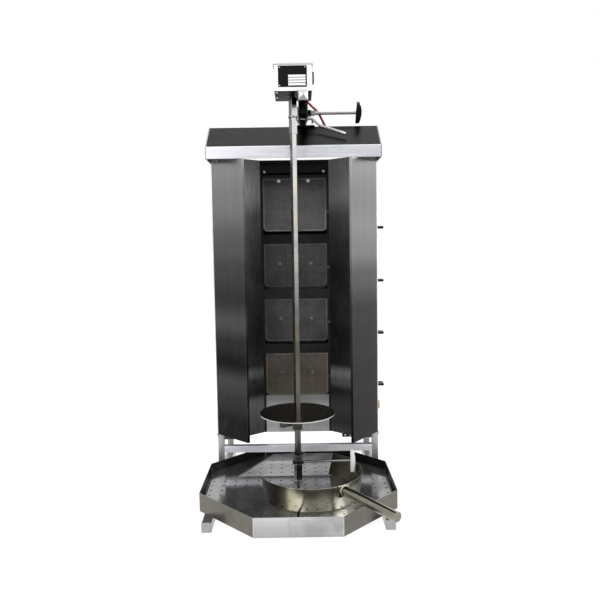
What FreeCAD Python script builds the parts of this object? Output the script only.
import FreeCAD, Part
import math
import os

# Upright gas grill for a turning meat cone. Millimetres, +X right, +Y back, +Z up.
# Everything is laid out from the spit axis at x = 0, y = 0, with the floor at z = 0.
# At the end the whole grill moves so that the middle of its footprint is the origin.

# Sheet and tube
sheet = 1.5
thin_sheet = 1.0
panel_sheet = 1.2
rail_size = 25.0
post_size = 20.0
corner_round = 2.0
loose_fit = 0.3
turning_fit = 0.05

# Base and frame
frame_half_width = 240.0
rail_front = -174.0
front_post_y = 148.0
frame_rear = 395.0
crossbar_bottom = 90.0
post_top = 961.0

# Octagonal drip tray and its perforated floor
tray_apothem = 255.0
tray_height = 48.0
plate_clearance = 1.5
plate_top = 48.7
slot_width = 6.0
hole_diameter = 6.0
hole_sides = 8
hole_pitch = 31.25
first_hole_x = 18.0
hole_rows_each_way = 6
side_hole_margin = 12.0
diagonal_hole_margin = 33.0
guide_bar_width = 6.0

# Heat housing
housing_bottom = 130.0
flange_y = 152.0
reflector_bend_x = frame_half_width - 50.5
reflector_back_x = 103.0
burner_face_y = 219.0
reflector_lip = 20.0
vent_slot_length = 90.0
vent_slot_height = 8.0
vent_slot_pitch = 30.0
vent_slot_count = 6

# Burners
burner_count = 4
burner_pitch = 167.3
first_burner_bottom = 246.0
burner_half_width = 97.0
burner_height = 132.0
burner_depth = 100.0
burner_corner = 14.0
burner_rim = 5.0
tile_recess = 3.0
strip_height = 27.0
guard_inset = 2.0
header_bottom = 910.0
header_recess = 8.0
header_rim = 7.0

# Gas line and taps
tap_y = 309.0
tap_rise = 12.3
tap_block = 24.0
manifold_size = 22.0
feed_pipe_diameter = 10.0
tap_stem = 6.0
tap_stem_hole = 9.0
tap_lever_thickness = 7.5
tap_lever_length = 42.0
tap_tip_x = frame_half_width + 37.0
inlet_z = 190.0
inlet_reach_x = frame_half_width + 24.0
inlet_nut_diameter = 30.0
inlet_bore_diameter = 15.0

# Folding side doors
hinge_x = frame_half_width - 8.0
hinge_y = 138.0
door_bottom = 152.0
door_top = 940.0
door_width = 130.0
door_hem = 8.0
left_door_open = 43.3
right_door_open = 52.0
hinge_pin_diameter = 6.0
hinge_barrel_wall = 1.5
hinge_pin_reach = 12.0
hinge_ear = 4.0

# Hood
hood_front_y = 60.0
hood_bottom = 943.0
hood_band_top = 974.5
hood_ridge_y = 143.0
hood_top = 1042.5
hood_rear = 400.0
stiffener_height = 14.0
stiffener_y = (152.0, 205.0)

# Motor head
arm_x = 27.0
arm_size = 25.0
arm_bottom = 1069.0
arm_front_y = -50.0
arm_cap_height = 6.0
arm_rear_y = 270.0
box_left = -46.0
box_right = 50.0
box_front = -41.0
box_back = 62.5
box_height = 65.0
lid_height = 4.0
lid_overhang = 2.5
switch_y = -8.0
switch_rise = 40.0
switch_width = 14.0
switch_height = 24.0
switch_frame = 2.5
rocker_reach = 5.0
rocker_gap = 1.5
rocker_pin_x = 48.0
rocker_pin_bore = 2.5

# Arm guide on its column
guide_wall = 2.2
guide_front_y = 134.0
guide_length = 60.0
saddle_height = 8.0
column_front_y = 148.0
column_depth = 24.0
column_width = 16.0
flange_width = 56.0
flange_depth = 46.0
flange_thickness = 3.0

# Drive
spit_turn = 31.0
hub_diameter = 16.0
hub_drop = 6.5
hub_grip = 14.0
sleeve_size = 15.5
sleeve_wall = 1.4
sleeve_bottom = 994.0
sleeve_lift = 16.0
collar_diameter = 25.0
collar_thickness = 3.0
collar_z = 1036.0
spit_size = 12.5
spit_engaged = 14.0
spit_bottom = 138.5
spit_pin_diameter = 7.5

# Release lever
lever_axis_y = 124.0
lever_axis_z = 1060.0
lever_shaft_diameter = 8.0
lever_ear_thickness = 4.0
lever_ear_depth = 14.0
lever_elbow = (75.0, 115.0, 1039.4)
lever_end = (145.5, 85.0, 1009.7)
lever_root_x = 54.0
finger_thickness = 3.0
finger_depth = 7.0

# T clamps
clamp_y = 152.0
upper_rod_diameter = 9.0
upper_boss = 16.0
upper_boss_reach = 9.0
upper_collar = 13.0
upper_collar_length = 11.0
upper_grip_x = 179.5
upper_grip_turn = 36.0
grip_length = 60.0
grip_depth = 10.0
upper_grip_end = 10.0
upper_grip_middle = 16.5
lower_rod_z = 114.0
lower_rod_diameter = 7.0
lower_grip_x = 143.5
lower_grip_end = 9.0
lower_grip_middle = 12.5
clamp_tip = 8.0

# Lower bearing
bearing_post = 22.0
bearing_block = 25.0
bearing_block_top = 65.0
bearing_web = 4.0
bearing_head_width = 30.0
bearing_head_depth = 16.0
bearing_head_half_height = 5.5
cup_rim_diameter = 41.0
cup_neck_diameter = 14.0
cup_top = 136.0
cup_wall = 1.5
cup_floor = 1.5
cup_seat_depth = 6.0

# Meat plate
meat_plate_radius = 102.5
meat_plate_z = 251.6
meat_plate_thickness = 2.5
meat_hub_size = 26.0
meat_hub_bottom = 206.0
plate_screw_z = 216.0
plate_screw_diameter = 7.0
plate_screw_reach = 16.0
wing_width = 16.0
wing_length = 20.0
wing_thickness = 3.0

# Meat scoop
scoop_x = 33.5
scoop_y = -46.5
scoop_rim_radius = 138.0
scoop_foot_radius = 130.0
scoop_top = 110.0
scoop_sheet = 1.5
scoop_open_from = 61.1
scoop_open_to = 200.7
scoop_end_slant = 5.0
handle_direction = -55.0
handle_diameter = 23.5
handle_wall = 1.5
handle_z = 97.0
handle_end_radius = 326.0
handle_weld_height = 30.0
handle_weld_width = 34.0

# Supply cord
cord_diameter = 7.0
gland_diameter = 15.0
gland_length = 22.0
cord_exit_x = 38.0
cord_exit_z = 1106.0
cord_route = [
    (38.0, 104.0, 1106.0),
    (43.0, 128.0, 1106.5),
    (52.0, 152.0, 1103.0),
    (64.0, 175.0, 1098.0),
    (76.0, 198.0, 1090.5),
    (86.0, 226.0, 1078.5),
    (97.0, 256.0, 1065.0),
    (113.0, 285.0, 1055.5),
    (135.0, 312.0, 1050.0),
    (164.0, 339.0, 1048.5),
    (182.0, 363.0, 1051.5),
    (199.0, 386.0, 1057.5),
    (214.0, 407.0, 1053.0),
    (224.0, 424.0, 1035.5),
    (229.0, 432.0, 1008.0),
    (231.0, 430.0, 966.0),
    (233.0, 422.0, 884.0),
    (235.0, 418.0, 788.0),
    (233.0, 419.0, 690.0),
    (230.0, 421.0, 594.0),
    (232.0, 420.0, 497.0),
    (236.0, 418.0, 400.0),
    (238.0, 419.0, 303.0),
    (236.0, 422.0, 208.0),
    (233.0, 424.0, 124.0),
    (232.5, 427.0, 72.0),
    (234.0, 437.0, 42.0),
    (237.0, 457.0, 19.0),
    (240.0, 487.0, 6.5),
    (245.0, 521.0, 3.9),
    (251.0, 556.0, 4.1),
]
coil_turns_high = 2
coil_turns_across = 2
coil_middle_diameter = 76.0
coil_start_turn = 20.0
plug_width = 37.0
plug_height = 26.0
plug_length = 44.0
plug_waist_share = 0.38
plug_shoulder_share = 0.45
plug_tail_back = 9.0
plug_pin_diameter = 4.8
plug_pin_length = 19.0
plug_pin_pitch = 19.0


def vec(x, y, z):
    return FreeCAD.Vector(x, y, z)


def block(x0, x1, y0, y1, z0, z1):
    return Part.makeBox(x1 - x0, y1 - y0, z1 - z0, vec(x0, y0, z0))


def centred_block(x, y, width, depth, z0, z1):
    return block(x - width / 2, x + width / 2, y - depth / 2, y + depth / 2, z0, z1)


def rod(diameter, start, end):
    line = vec(*end) - vec(*start)
    return Part.makeCylinder(diameter / 2, line.Length, vec(*start), line)


def face_of(corners):
    return Part.Face(Part.makePolygon(corners + corners[:1]))


def plan(points, z0, z1):
    return face_of([vec(x, y, z0) for x, y in points]).extrude(vec(0, 0, z1 - z0))


def side(points, x0, x1):
    return face_of([vec(x0, y, z) for y, z in points]).extrude(vec(x1 - x0, 0, 0))


def front(points, y0, y1):
    return face_of([vec(x, y0, z) for x, z in points]).extrude(vec(0, y1 - y0, 0))


def join(first, *others):
    return first.fuse(list(others)).removeSplitter()


def mirrored(shape):
    return shape.mirror(vec(0, 0, 0), vec(1, 0, 0))


def turned(shape, centre, axis, angle):
    copy = shape.copy()
    copy.rotate(vec(*centre), vec(*axis), angle)
    return copy


def unit(dx, dy):
    length = math.hypot(dx, dy)
    return dx / length, dy / length


# Outline of a bent sheet: one face follows the path, the other lies to its left.
def bent_sheet(path, thickness):
    runs = [unit(b[0] - a[0], b[1] - a[1]) for a, b in zip(path, path[1:])]
    normals = [(-dy, dx) for dx, dy in runs]
    inner = []
    for index, (x, y) in enumerate(path):
        before = normals[max(index - 1, 0)]
        after = normals[min(index, len(normals) - 1)]
        spread = 1 + before[0] * after[0] + before[1] * after[1]
        inner.append((x + thickness * (before[0] + after[0]) / spread,
                      y + thickness * (before[1] + after[1]) / spread))
    return path + inner[::-1]


def octagon(apothem):
    radius = apothem / math.cos(math.pi / 8)
    angles = [math.pi / 8 + math.pi / 4 * step for step in range(8)]
    return [(radius * math.cos(angle), radius * math.sin(angle)) for angle in angles]


def half_octagon(apothem, inner_x):
    right = [point for point in octagon(apothem) if point[0] > 0]
    right.sort(key=lambda point: point[1])
    return [(inner_x, -apothem)] + right + [(inner_x, apothem)]


# Square bar with rounded long edges, lying along axis 0, 1 or 2.
def square_bar(x0, x1, y0, y1, z0, z1, axis):
    bar = block(x0, x1, y0, y1, z0, z1)
    long_edges = []
    for edge in bar.Edges:
        run = edge.Vertexes[1].Point - edge.Vertexes[0].Point
        if abs(run[axis]) > max(abs(run[other]) for other in range(3) if other != axis):
            long_edges.append(edge)
    return bar.makeFillet(corner_round, long_edges)


# Frame

def base_rail():
    outer = frame_half_width
    return square_bar(outer - rail_size, outer, rail_front, frame_rear, 0, rail_size, 1)


def post(y0):
    outer = frame_half_width
    return square_bar(outer - post_size, outer, y0, y0 + post_size, rail_size, post_top, 2)


# Ears reach forward from the post and hold one fixed pin above and one below the door.
def front_post():
    pieces = []
    for ear_z, pin_z in ((door_top + loose_fit, door_top - hinge_pin_reach),
                         (door_bottom - loose_fit - hinge_ear, door_bottom - loose_fit)):
        ear = block(hinge_x - 7, frame_half_width, hinge_y - 6, front_post_y + corner_round,
                    ear_z, ear_z + hinge_ear)
        pin_end = pin_z + hinge_pin_reach + loose_fit
        pieces.append(ear)
        pieces.append(rod(hinge_pin_diameter, (hinge_x, hinge_y, pin_z), (hinge_x, hinge_y, pin_end)))
    return join(post(front_post_y), *pieces)


def crossbar(y0):
    inner = frame_half_width - post_size
    return square_bar(-inner, inner, y0, y0 + post_size, crossbar_bottom, crossbar_bottom + post_size, 0)


# Tray, floor and bearing guide

def drip_tray():
    rim = rail_size + tray_height
    shell = plan(octagon(tray_apothem), rail_size, rim)
    shell = shell.cut(plan(octagon(tray_apothem - sheet), rail_size + sheet, rim))
    inner = bearing_web / 2 + loose_fit
    guide_end = tray_apothem - sheet - plate_clearance - 10
    bars = []
    for sign in (-1, 1):
        near, far = sorted((sign * inner, sign * (inner + guide_bar_width)))
        bars.append(block(near, far, -guide_end, guide_end, rail_size, plate_top - sheet))
    return join(shell, *bars)


def floor_hole_centres(apothem):
    centres = []
    for row in range(-hole_rows_each_way, hole_rows_each_way + 1):
        y = row * hole_pitch
        x = first_hole_x
        reach = (apothem - diagonal_hole_margin) * math.sqrt(2) - abs(y)
        while x <= min(reach, apothem - side_hole_margin):
            centres.append((x, y))
            x += hole_pitch
    return centres


# Each punched hole has a few flats, since there are so many of them.
def hole_rim():
    radius = hole_diameter / 2 / math.cos(math.pi / hole_sides)
    angles = [math.pi / hole_sides * (2 * step + 1) for step in range(hole_sides)]
    return [(radius * math.cos(angle), radius * math.sin(angle)) for angle in angles]


def floor_plate():
    apothem = tray_apothem - sheet - plate_clearance
    inner_x = slot_width / 2
    top = plate_top - sheet
    outline = [vec(x, y, top) for x, y in half_octagon(apothem, inner_x)]
    wires = [Part.makePolygon(outline + outline[:1])]
    for x, y in floor_hole_centres(apothem):
        rim = [vec(x + px, y + py, top) for px, py in hole_rim()]
        wires.append(Part.makePolygon(rim + rim[:1]))
    sheet_face = Part.Face(wires, "Part::FaceMakerBullseye")
    perforated = sheet_face.extrude(vec(0, 0, sheet))
    skirt = plan(half_octagon(apothem, inner_x), rail_size + sheet, top)
    skirt = skirt.cut(plan(half_octagon(apothem - sheet, inner_x - 1), rail_size, top))
    return join(perforated, skirt)


# Heat housing

def reflector():
    inner = frame_half_width - post_size
    path = [(reflector_back_x, burner_face_y + reflector_lip), (reflector_back_x, burner_face_y),
            (reflector_bend_x, flange_y), (inner, flange_y)]
    return plan(bent_sheet(path, thin_sheet), housing_bottom, post_top)


def side_panel():
    outer = frame_half_width
    panel = block(outer - panel_sheet, outer, front_post_y + post_size, frame_rear - post_size,
                  housing_bottom, post_top)
    holes = []
    for level in range(burner_count):
        z = first_burner_bottom + tap_rise + level * burner_pitch
        holes.append(rod(tap_stem_hole, (outer - 2 * panel_sheet, tap_y, z), (outer + 1, tap_y, z)))
    return panel, holes


def right_side_panel():
    panel, holes = side_panel()
    outer = frame_half_width
    inlet_hole = rod(inlet_bore_diameter + 7, (outer - 2 * panel_sheet, tap_y, inlet_z),
                     (outer + 1, tap_y, inlet_z))
    return panel.cut(holes + [inlet_hole])


def left_side_panel():
    return mirrored(side_panel()[0])


def rear_cover():
    inner = frame_half_width - post_size
    cover = block(-inner, inner, frame_rear - panel_sheet, frame_rear, housing_bottom, post_top)
    slots = []
    for base_z in (housing_bottom + 60, post_top - 60 - (vent_slot_count - 1) * vent_slot_pitch):
        for row in range(vent_slot_count):
            z = base_z + row * vent_slot_pitch
            for x in (-inner / 2, inner / 2):
                slots.append(block(x - vent_slot_length / 2, x + vent_slot_length / 2,
                                   frame_rear - 2 * panel_sheet, frame_rear + 1, z, z + vent_slot_height))
    return cover.cut(slots)


def burner_bottom(level):
    return first_burner_bottom + level * burner_pitch


# Two uprights stand behind the reflector edges and carry the burners and the strips between them.
def burner_rack():
    pieces = []
    for sign in (-1, 1):
        near, far = sorted((sign * burner_half_width, sign * reflector_back_x))
        pieces.append(block(near, far, burner_face_y, burner_face_y + reflector_lip,
                            housing_bottom, post_top))
    for level in range(burner_count - 1):
        z = burner_bottom(level) + burner_height
        pieces.append(block(-burner_half_width, burner_half_width, burner_face_y,
                            burner_face_y + 2 * sheet, z, z + strip_height))
    return join(*pieces)


def bottom_panel():
    path = [(burner_face_y + reflector_lip, housing_bottom), (burner_face_y, housing_bottom),
            (burner_face_y, first_burner_bottom), (burner_face_y + reflector_lip, first_burner_bottom)]
    return side(bent_sheet(path, -thin_sheet), -burner_half_width, burner_half_width)


# Pressed panel with a shallow sunk field and flanges turned back above and below.
def header_panel():
    back = burner_face_y + reflector_lip
    path = [(back, header_bottom), (burner_face_y, header_bottom),
            (burner_face_y, header_bottom + header_rim),
            (burner_face_y + header_recess, header_bottom + 2 * header_rim),
            (burner_face_y + header_recess, post_top - 2 * header_rim),
            (burner_face_y, post_top - header_rim), (burner_face_y, post_top), (back, post_top)]
    return side(bent_sheet(path, -thin_sheet), -burner_half_width, burner_half_width)


# Burner face outline with its two lower corners rounded.
def burner_outline(inset, height, corner, z):
    half = burner_half_width - inset
    low = z + inset
    high = z + height - inset
    corner = max(corner - inset, 1.0)
    slant = corner * math.sqrt(0.5)
    corners = [vec(-half, 0, high), vec(-half, 0, low + corner),
               vec(-half + corner, 0, low), vec(half - corner, 0, low),
               vec(half, 0, low + corner), vec(half, 0, high)]
    left_mid = vec(-half + corner - slant, 0, low + corner - slant)
    right_mid = vec(half - corner + slant, 0, low + corner - slant)
    edges = [Part.LineSegment(corners[0], corners[1]).toShape(),
             Part.Arc(corners[1], left_mid, corners[2]).toShape(),
             Part.LineSegment(corners[2], corners[3]).toShape(),
             Part.Arc(corners[3], right_mid, corners[4]).toShape(),
             Part.LineSegment(corners[4], corners[5]).toShape(),
             Part.LineSegment(corners[5], corners[0]).toShape()]
    return Part.Face(Part.Wire(edges))


def slab(face, y0, y1):
    copy = face.copy()
    copy.translate(vec(0, y0, 0))
    return copy.extrude(vec(0, y1 - y0, 0))


# Infrared burner: a rimmed front, a sunk tile field and a box that narrows to the back.
def burner(level):
    z = burner_bottom(level)
    body_front = burner_face_y + 12
    rim = slab(burner_outline(0, burner_height, burner_corner, z), burner_face_y, body_front)
    field = slab(burner_outline(burner_rim, burner_height, burner_corner, z), burner_face_y,
                 burner_face_y + tile_recess)
    half = burner_half_width - 3
    low = z + 6
    high = z + burner_height - 6
    taper = 14.0
    box = side([(body_front, low), (burner_face_y + burner_depth, low + taper),
                (burner_face_y + burner_depth, high - taper), (body_front, high)], -half, half)
    return join(rim.cut(field), box)


def mesh_guard(level):
    z = burner_bottom(level)
    top_level = level == burner_count - 1
    height = header_bottom - z if top_level else burner_height
    face = burner_outline(guard_inset, height, burner_corner, z)
    return slab(face, burner_face_y - thin_sheet, burner_face_y)


# One upright pipe feeds four taps, and each tap feeds the side of its burner.
def gas_manifold():
    pipe_x = frame_half_width - panel_sheet - tap_block / 2 - 1
    pipe_y = tap_y + tap_block / 2 + manifold_size / 2
    top = burner_bottom(burner_count - 1) + tap_rise + tap_block
    half = manifold_size / 2
    pieces = [block(pipe_x - half, pipe_x + half, pipe_y - half, pipe_y + half,
                    inlet_z - tap_block / 2, top)]
    wall_face = frame_half_width - panel_sheet
    stem_bore = []
    for level in range(burner_count):
        z = burner_bottom(level) + tap_rise
        pieces.append(block(wall_face - tap_block, wall_face, tap_y - tap_block / 2,
                            tap_y + tap_block / 2, z - tap_block / 2, z + tap_block / 2))
        pieces.append(rod(feed_pipe_diameter, (burner_half_width - 3, tap_y, z),
                          (wall_face - tap_block, tap_y, z)))
        stem_bore.append(rod(tap_stem_hole, (wall_face - 13, tap_y, z), (wall_face + 1, tap_y, z)))
    pieces.append(block(wall_face - tap_block, wall_face - 2, tap_y - tap_block / 2,
                        tap_y + tap_block / 2, inlet_z - tap_block / 2, inlet_z + tap_block / 2))
    pieces.append(rod(inlet_bore_diameter + 6, (wall_face - 4, tap_y, inlet_z),
                      (frame_half_width + 2, tap_y, inlet_z)))
    pieces.append(rod(inlet_nut_diameter, (frame_half_width, tap_y, inlet_z),
                      (inlet_reach_x, tap_y, inlet_z)))
    inlet_bore = rod(inlet_bore_diameter, (inlet_reach_x - 18, tap_y, inlet_z),
                     (inlet_reach_x + 1, tap_y, inlet_z))
    return join(*pieces).cut(stem_bore + [inlet_bore])


# Lever tap handle: a round-ended bar on a square stem that turns in the tap.
def tap_knob(level):
    z = burner_bottom(level) + tap_rise
    x0 = frame_half_width + loose_fit
    half_run = (tap_lever_length - tap_lever_thickness) / 2
    half = tap_lever_thickness / 2
    lower_front = vec(x0, tap_y - half_run, z - half)
    lower_back = vec(x0, tap_y + half_run, z - half)
    upper_back = vec(x0, tap_y + half_run, z + half)
    upper_front = vec(x0, tap_y - half_run, z + half)
    edges = [Part.LineSegment(lower_front, lower_back).toShape(),
             Part.Arc(lower_back, vec(x0, tap_y + half_run + half, z), upper_back).toShape(),
             Part.LineSegment(upper_back, upper_front).toShape(),
             Part.Arc(upper_front, vec(x0, tap_y - half_run - half, z), lower_front).toShape()]
    bar = Part.Face(Part.Wire(edges)).extrude(vec(tap_tip_x - x0, 0, 0))
    stem = block(frame_half_width - panel_sheet - 12, x0, tap_y - tap_stem / 2, tap_y + tap_stem / 2,
                 z - tap_stem / 2, z + tap_stem / 2)
    return join(bar, stem)


# Folding door, drawn shut, then swung open about its pins.
def door(open_angle):
    barrel = hinge_pin_diameter / 2 + turning_fit + hinge_barrel_wall
    front_y = hinge_y - barrel
    free_x = hinge_x - door_width
    path = [(hinge_x, front_y), (free_x, front_y), (free_x, front_y + door_hem)]
    leaf = plan(bent_sheet(path, -sheet), door_bottom, door_top)
    tube = rod(2 * barrel, (hinge_x, hinge_y, door_bottom), (hinge_x, hinge_y, door_top))
    bore = rod(hinge_pin_diameter + 2 * turning_fit, (hinge_x, hinge_y, door_bottom - 1),
               (hinge_x, hinge_y, door_top + 1))
    shut = join(leaf, tube).cut(bore)
    return turned(shut, (hinge_x, hinge_y, 0), (0, 0, 1), open_angle)


# Hood: a bent roof sheet open to the rear, two cheeks and two stiffening angles under its top.
def hood():
    half = frame_half_width + sheet
    rear_top = (hood_rear, hood_top)
    path = [(hood_front_y, hood_bottom), (hood_front_y, hood_band_top),
            (hood_ridge_y, hood_top), rear_top]
    roof = side(bent_sheet(path, -sheet), -half, half)
    outline = path + [(hood_rear, hood_bottom)]
    pieces = []
    for sign in (-1, 1):
        near, far = sorted((sign * frame_half_width, sign * half))
        pieces.append(side(outline, near, far))
    for y in stiffener_y:
        angle = [(y, hood_top - sheet), (y, hood_top - sheet - stiffener_height)]
        pieces.append(side(bent_sheet(angle, sheet), -frame_half_width, frame_half_width))
    return join(roof, *pieces)


# Motor head

arm_left = arm_x - arm_size / 2
arm_right = arm_x + arm_size / 2
arm_top = arm_bottom + arm_size
switch_z = arm_top + switch_rise
lid_bottom = arm_top + box_height


# Square arm with a pyramid cap, and two ears below it that hold the release lever.
def motor_arm():
    bar = block(arm_left, arm_right, arm_front_y, arm_rear_y, arm_bottom, arm_top)
    base = [vec(arm_left, arm_front_y, arm_bottom), vec(arm_right, arm_front_y, arm_bottom),
            vec(arm_right, arm_front_y, arm_top), vec(arm_left, arm_front_y, arm_top)]
    tip = vec(arm_x, arm_front_y - arm_cap_height, arm_bottom + arm_size / 2)
    faces = [face_of([base[i], base[(i + 1) % 4], tip]) for i in range(4)]
    cap = Part.Solid(Part.Shell(faces + [face_of(base)]))
    ears = []
    for x in (arm_left + 1, arm_right - 1 - lever_ear_thickness):
        half = lever_ear_depth / 2
        ears.append(block(x, x + lever_ear_thickness, lever_axis_y - half, lever_axis_y + half,
                          lever_axis_z - half + 1, arm_bottom))
    bore = rod(lever_shaft_diameter + 2 * turning_fit, (arm_left - 5, lever_axis_y, lever_axis_z),
               (arm_right + 5, lever_axis_y, lever_axis_z))
    return join(bar, cap, *ears).cut(bore)


# Closed gear motor box with a well below, where the raised sleeve goes in.
def motor_housing():
    box = block(box_left, box_right, box_front, box_back, arm_top, lid_bottom)
    well = rod(collar_diameter + 4, (0, 0, arm_top - 1), (0, 0, arm_top + sleeve_lift - hub_drop + 2))
    hub_bore = rod(hub_diameter + 2 * turning_fit, (0, 0, arm_top),
                   (0, 0, arm_top + sleeve_lift + hub_grip))
    half_y = switch_width / 2
    half_z = switch_height / 2
    bezel = block(box_right, box_right + switch_frame, switch_y - half_y - switch_frame,
                  switch_y + half_y + switch_frame, switch_z - half_z - switch_frame,
                  switch_z + half_z + switch_frame)
    switch_hole = block(box_right - 10, box_right + rocker_reach, switch_y - half_y, switch_y + half_y,
                        switch_z - half_z, switch_z + half_z)
    return join(box, bezel).cut([well, hub_bore, switch_hole])


def motor_lid():
    return block(box_left - lid_overhang, box_right + lid_overhang, box_front - lid_overhang,
                 box_back + lid_overhang, lid_bottom, lid_bottom + lid_height)


# Rocker with two sloping faces that tilts about a pin across its opening.
def power_switch():
    half = switch_height / 2 - rocker_gap
    face = box_right + rocker_reach
    pressed = box_right + switch_frame
    low = box_right - 4
    outline = [(low, switch_z - half + 2), (low, switch_z + half - 2), (box_right, switch_z + half),
               (face, switch_z + half), (pressed + 0.5, switch_z), (pressed, switch_z - half)]
    half_y = switch_width / 2 - loose_fit
    rocker = front(outline, switch_y - half_y, switch_y + half_y)
    return rocker.cut(rod(rocker_pin_bore, (rocker_pin_x, switch_y - half_y - 1, switch_z),
                          (rocker_pin_x, switch_y + half_y + 1, switch_z)))


# Square guide that the arm slides in, with the clamp's boss on its right side.
def arm_guide():
    inner = arm_size / 2 + loose_fit
    outer = inner + guide_wall
    centre_z = arm_bottom + arm_size / 2
    y1 = guide_front_y + guide_length
    body = block(arm_x - outer, arm_x + outer, guide_front_y, y1, centre_z - outer, centre_z + outer)
    hollow = block(arm_x - inner, arm_x + inner, guide_front_y - 1, y1 + 1,
                   centre_z - inner, centre_z + inner)
    half = upper_boss / 2
    boss = block(arm_x + outer, arm_x + outer + upper_boss_reach, clamp_y - half, clamp_y + half,
                 centre_z - half, centre_z + half)
    bore = rod(upper_rod_diameter + 2 * turning_fit, (arm_x, clamp_y, centre_z),
               (arm_x + outer + upper_boss_reach + 1, clamp_y, centre_z))
    return join(body, boss).cut([hollow, bore])


def arm_column():
    centre_z = arm_bottom + arm_size / 2
    guide_under = centre_z - arm_size / 2 - loose_fit - guide_wall
    centre_y = column_front_y + column_depth / 2
    flange_centre = arm_x + 6
    flange = centred_block(flange_centre, centre_y, flange_width, flange_depth, hood_top,
                           hood_top + flange_thickness)
    column = centred_block(arm_x, centre_y, column_width, column_depth, hood_top, guide_under)
    saddle = centred_block(arm_x, centre_y, arm_size, column_depth + 6, guide_under - saddle_height,
                           guide_under)
    return join(flange, column, saddle)


# Drive and spit

def spit_bar(size, z0, z1):
    bar = centred_block(0, 0, size, size, z0, z1)
    return turned(bar, (0, 0, 0), (0, 0, 1), spit_turn)


spit_top = sleeve_bottom + spit_engaged
hub_bottom = arm_top - hub_drop
hub_top = arm_top + sleeve_lift + hub_grip
cup_bottom = lower_rod_z + bearing_head_half_height


def drive_shaft():
    hub = rod(spit_size, (0, 0, hub_bottom), (0, 0, arm_top + sleeve_lift - hub_drop + 2 + loose_fit))
    journal = rod(hub_diameter, (0, 0, arm_top + sleeve_lift - hub_drop + 2 + loose_fit), (0, 0, hub_top))
    return join(spit_bar(spit_size, spit_top + loose_fit, hub_bottom), hub, journal)


def drive_sleeve():
    sleeve_top = hub_bottom - 0.5
    outer = spit_bar(sleeve_size, sleeve_bottom, sleeve_top)
    collar = rod(collar_diameter, (0, 0, collar_z), (0, 0, collar_z + collar_thickness))
    inner = spit_bar(sleeve_size - 2 * sleeve_wall, sleeve_bottom - 1, sleeve_top + 1)
    return join(outer, collar).cut(inner)


def spit():
    pin_end = cup_bottom + cup_floor + loose_fit
    pin = rod(spit_pin_diameter, (0, 0, pin_end + 3), (0, 0, spit_bottom))
    point = Part.makeCone(1.5, spit_pin_diameter / 2, 3, vec(0, 0, pin_end))
    return join(spit_bar(spit_size, spit_bottom, spit_top), pin, point)


# The lever's shaft turns in the arm's ears. A finger on it lifts the sleeve by its collar.
def release_lever():
    finger_x0 = arm_left - finger_thickness - loose_fit
    axis = (lever_axis_y, lever_axis_z)
    root = (lever_root_x, axis[0], axis[1])
    shaft = rod(lever_shaft_diameter, (finger_x0, axis[0], axis[1]), root)
    bend = Part.makeSphere(lever_shaft_diameter / 2, vec(*root))
    elbow = Part.makeSphere(lever_shaft_diameter / 2 + loose_fit, vec(*lever_elbow))
    inner_bar = rod(lever_shaft_diameter, root, lever_elbow)
    outer_bar = rod(lever_shaft_diameter, lever_elbow, lever_end)
    lift_z = collar_z - loose_fit
    half = finger_depth / 2
    outline = [(axis[0] + half, axis[1] - half), (axis[0] + half, axis[1] + half),
               (axis[0] - 30, axis[1] + 1), (26, lift_z), (-6, lift_z), (-6, lift_z - finger_depth),
               (28, lift_z - finger_depth), (axis[0] - 30, axis[1] - finger_depth)]
    finger = side(outline, finger_x0, finger_x0 + finger_thickness)
    return join(shaft, bend, inner_bar, finger).fuse(elbow).fuse(outer_bar)


# T grip: straight inner side, bowed outer side, turned about the screw's axis.
def grip(x0, end_width, middle_width, rod_end, diameter, y, z, turn):
    half = grip_length / 2
    inner_low = vec(x0, y, z - half)
    inner_high = vec(x0, y, z + half)
    outer_low = vec(x0 + end_width, y, z - half)
    outer_high = vec(x0 + end_width, y, z + half)
    edges = [Part.LineSegment(inner_low, inner_high).toShape(),
             Part.LineSegment(inner_high, outer_high).toShape(),
             Part.Arc(outer_high, vec(x0 + middle_width, y, z), outer_low).toShape(),
             Part.LineSegment(outer_low, inner_low).toShape()]
    face = Part.Face(Part.Wire(edges))
    face.translate(vec(0, -grip_depth / 2, 0))
    body = face.extrude(vec(0, grip_depth, 0))
    socket = rod(diameter, (x0 - 1, y, z), (rod_end, y, z))
    return turned(body.cut(socket), (x0, y, z), (1, 0, 0), turn)


def upper_clamp_rod():
    z = arm_bottom + arm_size / 2
    boss_face = arm_x + arm_size / 2 + loose_fit + guide_wall + upper_boss_reach
    half = upper_collar / 2
    collar_x0 = boss_face + loose_fit
    collar = block(collar_x0, collar_x0 + upper_collar_length, clamp_y - half, clamp_y + half,
                   z - half, z + half)
    screw = rod(upper_rod_diameter, (arm_right + loose_fit, clamp_y, z),
                (upper_grip_x + clamp_tip, clamp_y, z))
    return join(screw, collar)


def upper_clamp_grip():
    z = arm_bottom + arm_size / 2
    return grip(upper_grip_x, upper_grip_end, upper_grip_middle, upper_grip_x + clamp_tip,
                upper_rod_diameter, clamp_y, z, upper_grip_turn)


# Lower bearing

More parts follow.
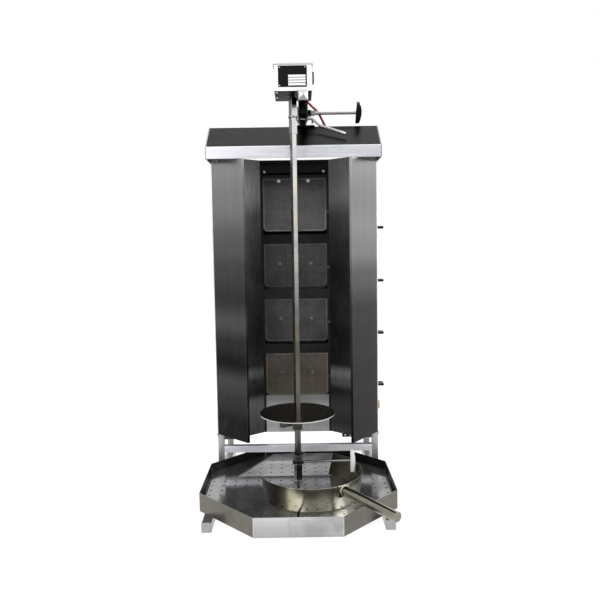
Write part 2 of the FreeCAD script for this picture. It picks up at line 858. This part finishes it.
# Square post on a block that slides on the floor plates, with a web down into the tray guide
# and a cross head that holds the cup and its clamp screw.
def bearing_support():
    foot = plate_top + loose_fit
    head_bottom = lower_rod_z - bearing_head_half_height
    web = centred_block(0, 0, bearing_web, bearing_block, rail_size + sheet + loose_fit, foot)
    base = centred_block(0, 0, bearing_block, bearing_block, foot, bearing_block_top)
    post_body = centred_block(0, 0, bearing_post, bearing_post, bearing_block_top, head_bottom)
    head = centred_block(0, 0, bearing_head_width, bearing_head_depth, head_bottom, cup_bottom)
    bore = rod(lower_rod_diameter + 2 * turning_fit, (bearing_head_width / 2 - clamp_tip, 0, lower_rod_z),
               (bearing_head_width / 2 + 1, 0, lower_rod_z))
    return join(web, base, post_body, head).cut(bore)


# Open funnel that guides the spit's pin into its seat.
def bearing_cup():
    rim = cup_rim_diameter / 2
    neck = cup_neck_diameter / 2
    seat = spit_pin_diameter / 2 + turning_fit
    floor_z = cup_bottom + cup_floor
    profile = [(0, cup_bottom), (neck, cup_bottom), (rim, cup_top), (rim - cup_wall, cup_top),
               (seat, cup_bottom + cup_seat_depth), (seat, floor_z), (0, floor_z)]
    face = face_of([vec(r, 0, z) for r, z in profile])
    return face.revolve(vec(0, 0, 0), vec(0, 0, 1), 360)


def lower_clamp_rod():
    return rod(lower_rod_diameter, (bearing_head_width / 2 - clamp_tip + loose_fit, 0, lower_rod_z),
               (lower_grip_x + clamp_tip, 0, lower_rod_z))


def lower_clamp_grip():
    return grip(lower_grip_x, lower_grip_end, lower_grip_middle, lower_grip_x + clamp_tip,
                lower_rod_diameter, 0, lower_rod_z, 0)


# Round plate on a square hub that slides along the spit.
def meat_plate():
    bore = spit_bar(spit_size + 2 * loose_fit, meat_hub_bottom - 1, meat_plate_z + 1)
    disc = rod(2 * meat_plate_radius, (0, 0, meat_plate_z - meat_plate_thickness), (0, 0, meat_plate_z))
    hub = centred_block(0, 0, meat_hub_size, meat_hub_size, meat_hub_bottom,
                        meat_plate_z - meat_plate_thickness)
    screw_bore = rod(plate_screw_diameter + 2 * turning_fit, (-meat_hub_size, 0, plate_screw_z),
                     (0, 0, plate_screw_z))
    return join(disc, hub).cut([bore, screw_bore])


# Wing screw: round shank, square neck and a flat wing that narrows to its root.
def plate_screw():
    tip = -(spit_size / 2 * math.sqrt(2) + loose_fit)
    shoulder = -(meat_hub_size / 2 + plate_screw_reach)
    shank = rod(plate_screw_diameter, (shoulder, 0, plate_screw_z), (tip, 0, plate_screw_z))
    half = wing_width / 2
    root = plate_screw_diameter / 2
    outline = [(shoulder + 6, plate_screw_z - root), (shoulder + 6, plate_screw_z + root),
               (shoulder - wing_length / 2, plate_screw_z + half),
               (shoulder - wing_length, plate_screw_z + half - 3),
               (shoulder - wing_length, plate_screw_z - half + 3),
               (shoulder - wing_length / 2, plate_screw_z - half)]
    wing = front(outline, -wing_thickness / 2, wing_thickness / 2)
    return join(shank, wing)


# Meat scoop

scoop_foot = plate_top + loose_fit


def scoop_radius(z):
    rise = (z - scoop_foot) / (scoop_top - scoop_foot)
    return scoop_foot_radius + (scoop_rim_radius - scoop_foot_radius) * rise


# Wedge that opens the wall. Its two sides lean with height.
def scoop_mouth():
    levels = []
    low = scoop_foot - 1
    for z, lean in ((low, scoop_end_slant), (scoop_top + 1, 0)):
        reach = 2 * scoop_rim_radius
        first = math.radians(scoop_open_from + lean)
        last = math.radians(scoop_open_to + lean)
        corners = [vec(scoop_x, scoop_y, z)]
        for step in range(4):
            angle = first + (last - first) * step / 3
            corners.append(vec(scoop_x + reach * math.cos(angle), scoop_y + reach * math.sin(angle), z))
        levels.append(Part.makePolygon(corners + corners[:1]))
    return Part.makeLoft(levels, True, True)


def scoop_wall():
    height = scoop_top - scoop_foot
    foot_centre = vec(scoop_x, scoop_y, scoop_foot)
    outer = Part.makeCone(scoop_foot_radius, scoop_rim_radius, height, foot_centre)
    inner = Part.makeCone(scoop_foot_radius - scoop_sheet, scoop_rim_radius - scoop_sheet, height, foot_centre)
    return outer.cut(inner).cut(scoop_mouth())


# Tube handle with a flat cap, welded to the wall through a shaped pad.
def scoop_handle():
    angle = math.radians(handle_direction)
    direction = (math.cos(angle), math.sin(angle))
    wall_radius = scoop_radius(handle_z)

    def at(radius):
        return (scoop_x + radius * direction[0], scoop_y + radius * direction[1], handle_z)

    tube = rod(handle_diameter, at(wall_radius - 12), at(handle_end_radius))
    hollow = rod(handle_diameter - 2 * handle_wall, at(wall_radius - 13), at(handle_end_radius - handle_wall))
    half = handle_weld_width / 2
    low = max(handle_z - handle_weld_height / 2, scoop_foot + 1)
    high = scoop_top - 1
    pad = block(wall_radius - 12, wall_radius + 4, -half, half, low, high)
    pad = turned(pad, (0, 0, 0), (0, 0, 1), handle_direction)
    pad.translate(vec(scoop_x, scoop_y, 0))
    height = scoop_top - scoop_foot
    wall_space = Part.makeCone(scoop_foot_radius, scoop_rim_radius, height, vec(scoop_x, scoop_y, scoop_foot))
    return join(tube.cut(hollow), pad).cut(wall_space)


# Supply cord

def cable_gland():
    start = (cord_exit_x, box_back, cord_exit_z)
    middle = box_back + gland_length / 2
    end = box_back + gland_length
    nut = rod(gland_diameter, start, (cord_exit_x, middle, cord_exit_z))
    taper = Part.makeCone(gland_diameter / 2, cord_diameter / 2 + 1.5, end - middle,
                          vec(cord_exit_x, middle, cord_exit_z), vec(0, 1, 0))
    return join(nut, taper)


def cord_points():
    start = vec(cord_exit_x, box_back + gland_length + loose_fit, cord_exit_z)
    return [start] + [vec(*point) for point in cord_route]


# Straight runs joined by tangent arcs. Each arc is as large as its two runs allow.
def cord_path(points):
    edges = []
    radii = []
    last = points[0]
    for before, corner, after in zip(points, points[1:], points[2:]):
        run_in = corner - before
        run_out = after - corner
        turn = run_in.getAngle(run_out)
        trim = 0.45 * min(run_in.Length, run_out.Length)
        radii.append(trim / math.tan(turn / 2))
        run_in.normalize()
        run_out.normalize()
        arc_start = corner - run_in * trim
        arc_end = corner + run_out * trim
        inward = run_out - run_in
        inward.normalize()
        bulge = trim / math.tan(turn / 2) * (1 / math.cos(turn / 2) - 1)
        edges.append(Part.LineSegment(last, arc_start).toShape())
        edges.append(Part.Arc(arc_start, corner + inward * bulge, arc_end).toShape())
        last = arc_end
    edges.append(Part.LineSegment(last, points[-1]).toShape())
    return Part.Wire(edges), radii


def supply_cord():
    points = cord_points()
    path, radii = cord_path(points)
    section = Part.Circle(points[0], points[1] - points[0], cord_diameter / 2).toShape()
    tube = path.makePipeShell([Part.Wire([section])], True, False)
    print("cord length", round(path.Length, 1), "smallest radius", round(min(radii), 1))
    print("cord volume", round(tube.Volume), "section times length",
          round(math.pi * cord_diameter ** 2 / 4 * path.Length))
    return tube


def coil_centre():
    points = cord_points()
    run = points[-1] - points[-2]
    heading = math.atan2(run.y, run.x)
    outer = coil_middle_diameter / 2 + coil_turns_across * cord_diameter / 2
    angle = heading + math.radians(coil_start_turn)
    return points[-1].x + (outer - 0.05) * math.cos(angle), points[-1].y + (outer - 0.05) * math.sin(angle)


def cord_coil():
    x, y = coil_centre()
    height = coil_turns_high * cord_diameter
    half = coil_turns_across * cord_diameter / 2
    middle = coil_middle_diameter / 2
    ring = Part.makeCylinder(middle + half, height, vec(x, y, 0))
    return ring.cut(Part.makeCylinder(middle - half, height, vec(x, y, 0)))


# Two-pin plug lying on the floor beside the coil, its tail to the rear and its pins to the front.
def plug():
    coil_x, coil_y = coil_centre()
    half = plug_width / 2
    waist = plug_width * plug_waist_share
    coil_radius = coil_middle_diameter / 2 + coil_turns_across * cord_diameter / 2
    tail_y = coil_y + plug_tail_back
    shoulder_y = tail_y - plug_length * plug_shoulder_share
    front_y = tail_y - plug_length
    x = coil_x - math.sqrt(coil_radius ** 2 - (coil_y - shoulder_y) ** 2) - half - loose_fit
    outline = [(x - half, front_y), (x + half, front_y), (x + half, shoulder_y),
               (x + waist / 2, tail_y), (x - waist / 2, tail_y), (x - half, shoulder_y)]
    body = plan(outline, 0, plug_height)
    pins = []
    for offset in (-plug_pin_pitch / 2, plug_pin_pitch / 2):
        pin_z = plug_height / 2
        pins.append(rod(plug_pin_diameter, (x + offset, front_y - plug_pin_length, pin_z),
                        (x + offset, front_y, pin_z)))
    print("plug middle", round(x, 1), "tail", round(tail_y, 1))
    return join(body, *pins)


def build_nodes():
    nodes = {
        "base_rail_right": base_rail(),
        "front_post_right": front_post(),
        "rear_post_right": post(frame_rear - post_size),
        "front_crossbar": crossbar(front_post_y),
        "rear_crossbar": crossbar(frame_rear - post_size),
        "drip_tray": drip_tray(),
        "floor_plate_right": floor_plate(),
        "side_panel_right": right_side_panel(),
        "side_panel_left": left_side_panel(),
        "rear_cover": rear_cover(),
        "reflector_right": reflector(),
        "burner_rack": burner_rack(),
        "bottom_panel": bottom_panel(),
        "header_panel": header_panel(),
        "gas_manifold": gas_manifold(),
        "hood": hood(),
        "arm_column": arm_column(),
        "arm_guide": arm_guide(),
        "motor_arm": motor_arm(),
        "motor_housing": motor_housing(),
        "motor_lid": motor_lid(),
        "power_switch": power_switch(),
        "drive_shaft": drive_shaft(),
        "drive_sleeve": drive_sleeve(),
        "release_lever": release_lever(),
        "upper_clamp_rod": upper_clamp_rod(),
        "upper_clamp_grip": upper_clamp_grip(),
        "spit": spit(),
        "meat_plate": meat_plate(),
        "plate_screw": plate_screw(),
        "bearing_support": bearing_support(),
        "bearing_cup": bearing_cup(),
        "lower_clamp_rod": lower_clamp_rod(),
        "lower_clamp_grip": lower_clamp_grip(),
        "door_right": door(right_door_open),
        "door_left": mirrored(door(left_door_open)),
        "scoop_wall": scoop_wall(),
        "scoop_handle": scoop_handle(),
        "cable_gland": cable_gland(),
        "supply_cord": supply_cord(),
        "cord_coil": cord_coil(),
        "plug": plug(),
    }
    for name in ("base_rail", "front_post", "rear_post", "floor_plate", "reflector"):
        nodes[name + "_left"] = mirrored(nodes[name + "_right"])
    for level in range(burner_count):
        nodes["burner_%d" % (level + 1)] = burner(level)
        nodes["mesh_guard_%d" % (level + 1)] = mesh_guard(level)
        nodes["tap_knob_%d" % (level + 1)] = tap_knob(level)
    return nodes


cord_names = ("supply_cord", "cord_coil", "plug", "cable_gland")


def main():
    os.makedirs("parts", exist_ok=True)
    nodes = build_nodes()
    whole = FreeCAD.BoundBox()
    for name, shape in nodes.items():
        if name not in cord_names:
            whole.add(shape.BoundBox)
    shift = vec(-whole.Center.x, -whole.Center.y, 0)
    print("moved by", round(shift.x, 3), round(shift.y, 3))
    for name, shape in nodes.items():
        if not shape.isValid() or len(shape.Solids) != 1:
            print("check", name, shape.isValid(), len(shape.Solids))
        placed = shape.copy()
        placed.translate(shift)
        placed.exportStep("parts/%s.step" % name)
    print(len(nodes), "nodes", "size", round(whole.XLength, 1), round(whole.YLength, 1), round(whole.ZLength, 1))


main()
